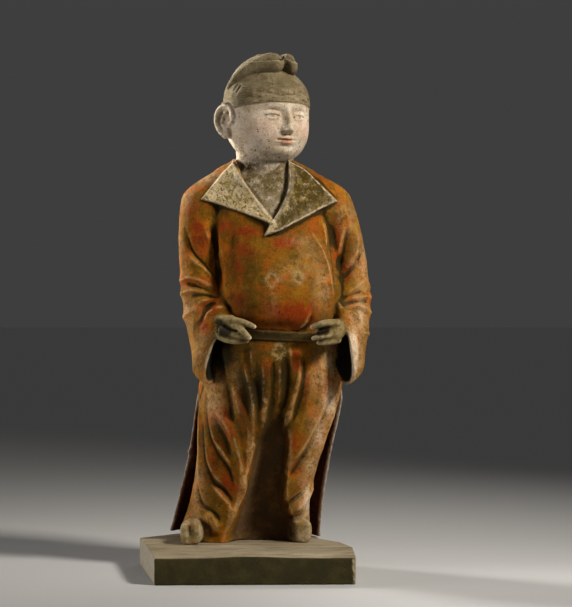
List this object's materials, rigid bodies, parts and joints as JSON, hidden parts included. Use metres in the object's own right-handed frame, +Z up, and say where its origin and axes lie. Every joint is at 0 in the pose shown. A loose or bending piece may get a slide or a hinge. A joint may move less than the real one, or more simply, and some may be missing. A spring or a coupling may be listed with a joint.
{
  "type": "painted pottery female figurine",
  "caption": "Standing pottery figurine of a stout woman in a belted long robe with wide lapels, on a low slab plinth.",
  "frame": {"origin": "on the plinth's flat underside, near its middle", "axes": "+Z up, -Y the way the body faces, +X the figure's own left; the head is turned towards +X"},
  "size_m": [0.2503, 0.209, 0.5494],
  "materials": {
    "painted_pottery": "worn matt orange-red paint over earthenware, chalky white on the head, neck and lapels",
    "bare_pottery": "matt unglazed grey earthenware, soiled dark olive on the front"
  },
  "bodies": {
    "root": {"figure": "painted_pottery", "plinth": "bare_pottery"}
  },
  "joints": []
}
